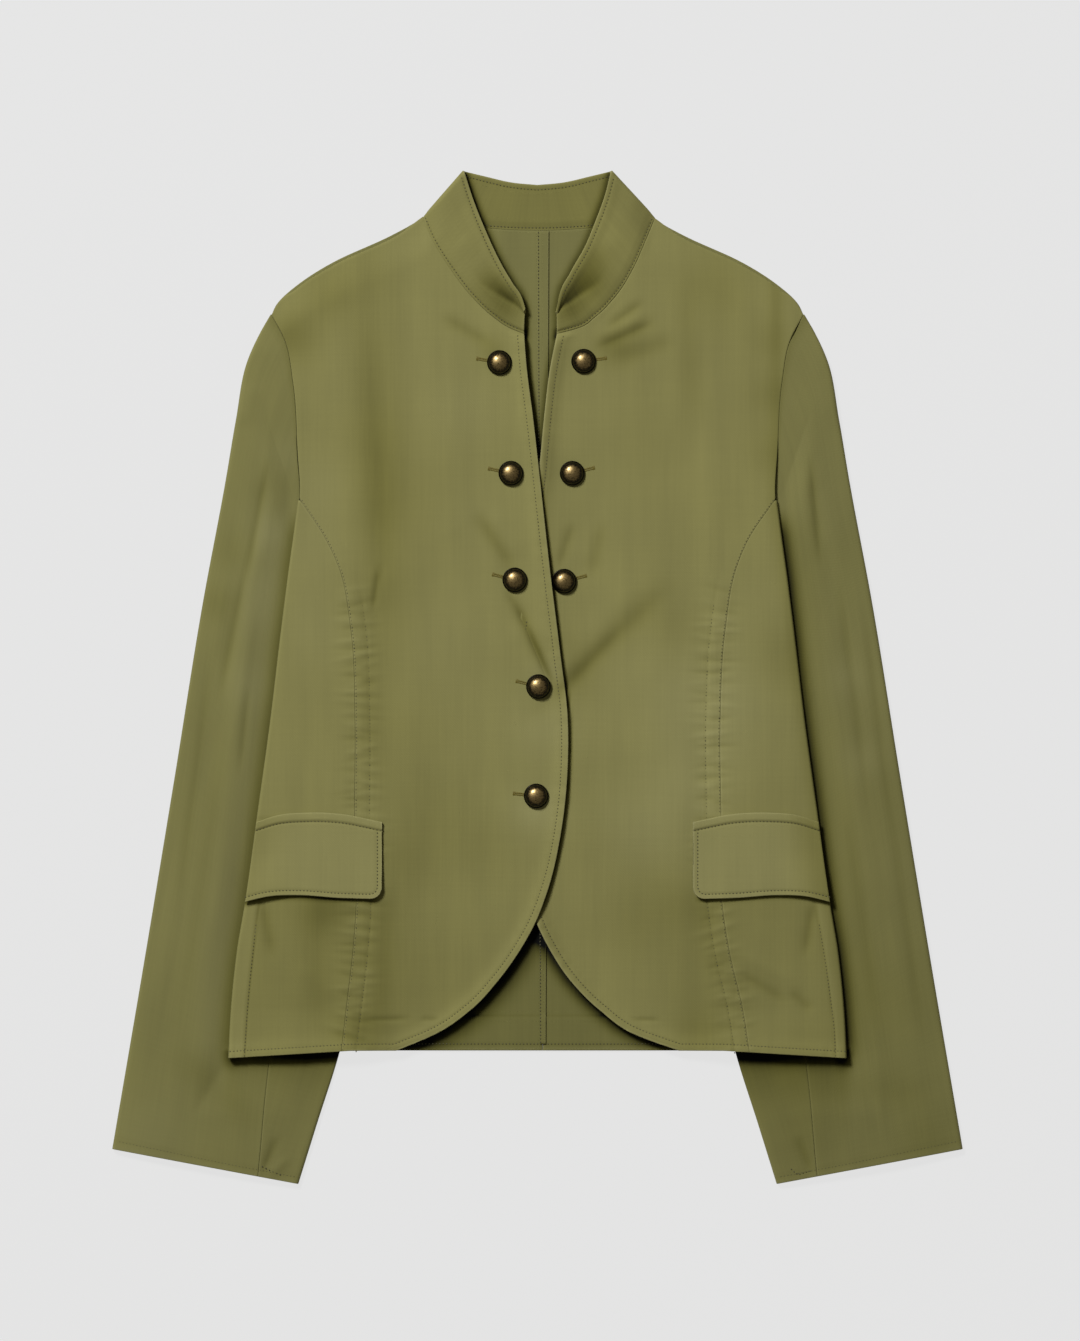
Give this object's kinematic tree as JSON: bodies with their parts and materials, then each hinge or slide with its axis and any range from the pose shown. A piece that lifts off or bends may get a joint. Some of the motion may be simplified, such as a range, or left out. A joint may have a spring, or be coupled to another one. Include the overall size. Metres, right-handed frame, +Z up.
{
  "type": "military jacket",
  "caption": "Fitted military-style jacket laid flat, olive twill, stand collar, princess seams, cutaway front, pocket flaps and domed brass buttons.",
  "frame": {"origin": "centre of the jacket's outline, on the surface that it lies on", "axes": "+X to the wearer's left, +Y from hem to collar, +Z up out of the front"},
  "size_m": [0.638, 0.7604, 0.0129],
  "materials": {
    "twill_front": "matt olive cotton twill",
    "twill_sleeve": "matt olive cotton twill",
    "twill_inside": "matt olive cotton twill, inner face",
    "button_brass": "antiqued brass with a dark patina"
  },
  "bodies": {
    "root": {"front_right_centre": "twill_front", "front_right_side": "twill_front", "front_left_centre": "twill_front", "front_left_side": "twill_front", "back_right": "twill_inside", "back_left": "twill_inside", "back_seam": "twill_inside", "collar": "twill_front", "sleeve_right_upper": "twill_sleeve", "sleeve_right_under": "twill_sleeve", "sleeve_left_upper": "twill_sleeve", "sleeve_left_under": "twill_sleeve", "flap_right": "twill_front", "flap_left": "twill_front", "button_right_1": "button_brass", "button_right_2": "button_brass", "button_right_3": "button_brass", "button_right_4": "button_brass", "button_right_5": "button_brass", "button_left_1": "button_brass", "button_left_2": "button_brass", "button_left_3": "button_brass"}
  },
  "joints": []
}
